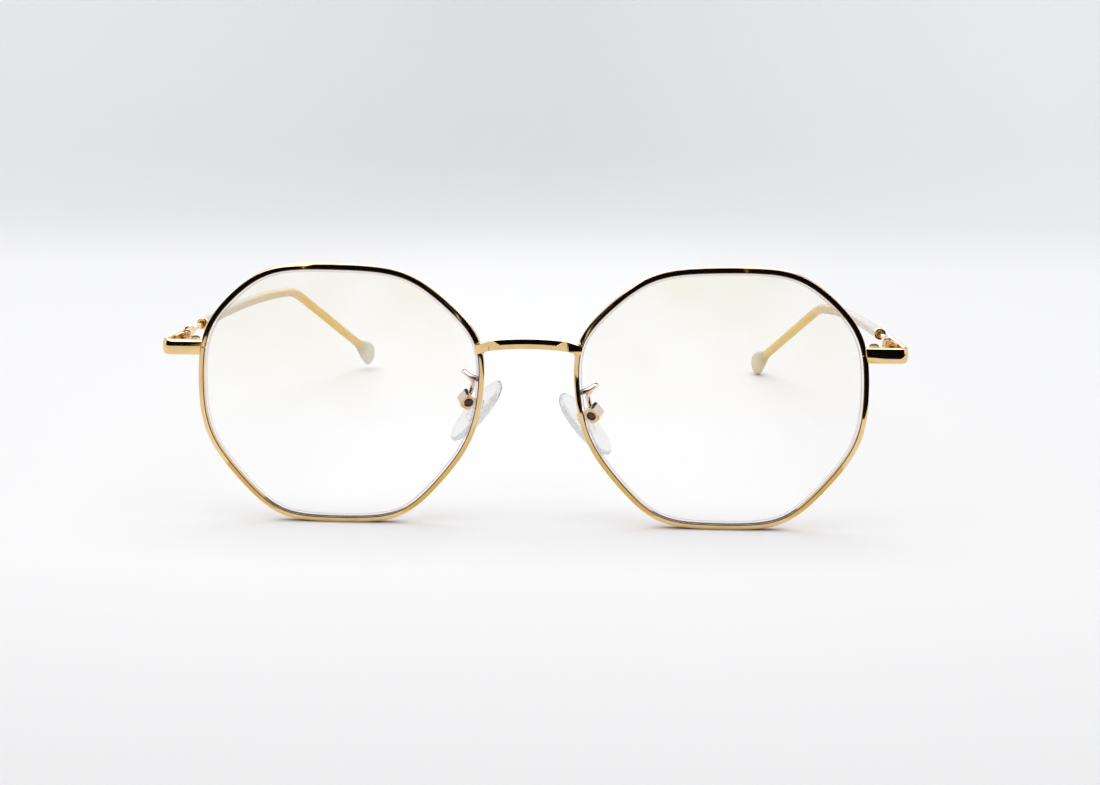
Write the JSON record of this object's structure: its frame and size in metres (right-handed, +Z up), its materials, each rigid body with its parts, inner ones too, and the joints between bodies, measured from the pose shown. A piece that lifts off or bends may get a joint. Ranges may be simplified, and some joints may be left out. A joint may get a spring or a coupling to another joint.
{
  "type": "eyeglass frame",
  "caption": "Thin metal eyeglass frame with round-cornered octagonal rims, clear lenses, adjustable nose pads and folding wire temples in milky sleeves",
  "frame": {"origin": "middle of the footprint, on the table that the rims and the left ear tip stand on", "axes": "+Z is up, the front and its lenses face -Y, the temples run back along +Y; X runs across, with the wearer's right at -X"},
  "size_m": [0.142, 0.1505, 0.0507],
  "materials": {
    "gold_metal": "polished",
    "screw_metal": "polished",
    "lens_clear": "clear, coated",
    "clear_silicone": "clear, soft",
    "clear_plastic": "clear, hard",
    "milky_plastic": "milky, translucent"
  },
  "bodies": {
    "front": {"right_rim": "gold_metal", "left_rim": "gold_metal", "right_lens": "lens_clear", "left_lens": "lens_clear", "bridge": "gold_metal", "right_end_piece": "gold_metal", "left_end_piece": "gold_metal", "right_lock_upper": "gold_metal", "left_lock_upper": "gold_metal", "right_lock_lower": "gold_metal", "left_lock_lower": "gold_metal", "right_lock_screw": "screw_metal", "left_lock_screw": "screw_metal", "right_front_hinge": "gold_metal", "left_front_hinge": "gold_metal", "right_hinge_screw": "screw_metal", "left_hinge_screw": "screw_metal", "right_pad_arm": "gold_metal", "left_pad_arm": "gold_metal", "right_pad_box": "gold_metal", "left_pad_box": "gold_metal", "right_pad_screw": "screw_metal", "left_pad_screw": "screw_metal"},
    "right_pad": {"right_pad_insert": "clear_plastic", "right_nose_pad": "clear_silicone"},
    "left_pad": {"left_pad_insert": "clear_plastic", "left_nose_pad": "clear_silicone"},
    "right_temple": {"right_temple_hinge": "gold_metal", "right_temple_wire": "gold_metal", "right_sleeve_ring": "gold_metal", "right_sleeve": "milky_plastic"},
    "left_temple": {"left_temple_hinge": "gold_metal", "left_temple_wire": "gold_metal", "left_sleeve_ring": "gold_metal", "left_sleeve": "milky_plastic"}
  },
  "joints": [
    {"name": "right_temple_fold", "type": "hinge", "parent": "front", "child": "right_temple", "pos_m": [-0.06814, -0.06389, 0.03429], "axis": [0, 0, -1], "range_deg": [0, 82]},
    {"name": "left_temple_fold", "type": "hinge", "parent": "front", "child": "left_temple", "pos_m": [0.06814, -0.06389, 0.03429], "axis": [0, 0, 1], "range_deg": [0, 85]},
    {"name": "right_pad_rock", "type": "hinge", "parent": "front", "child": "right_pad", "pos_m": [-0.0123, -0.06793, 0.02379], "axis": [-0.3237, 0.9063, 0.2717], "range_deg": [-10, 10]},
    {"name": "left_pad_rock", "type": "hinge", "parent": "front", "child": "left_pad", "pos_m": [0.0123, -0.06793, 0.02149], "axis": [0.3237, 0.9063, 0.2717], "range_deg": [-10, 10]}
  ]
}
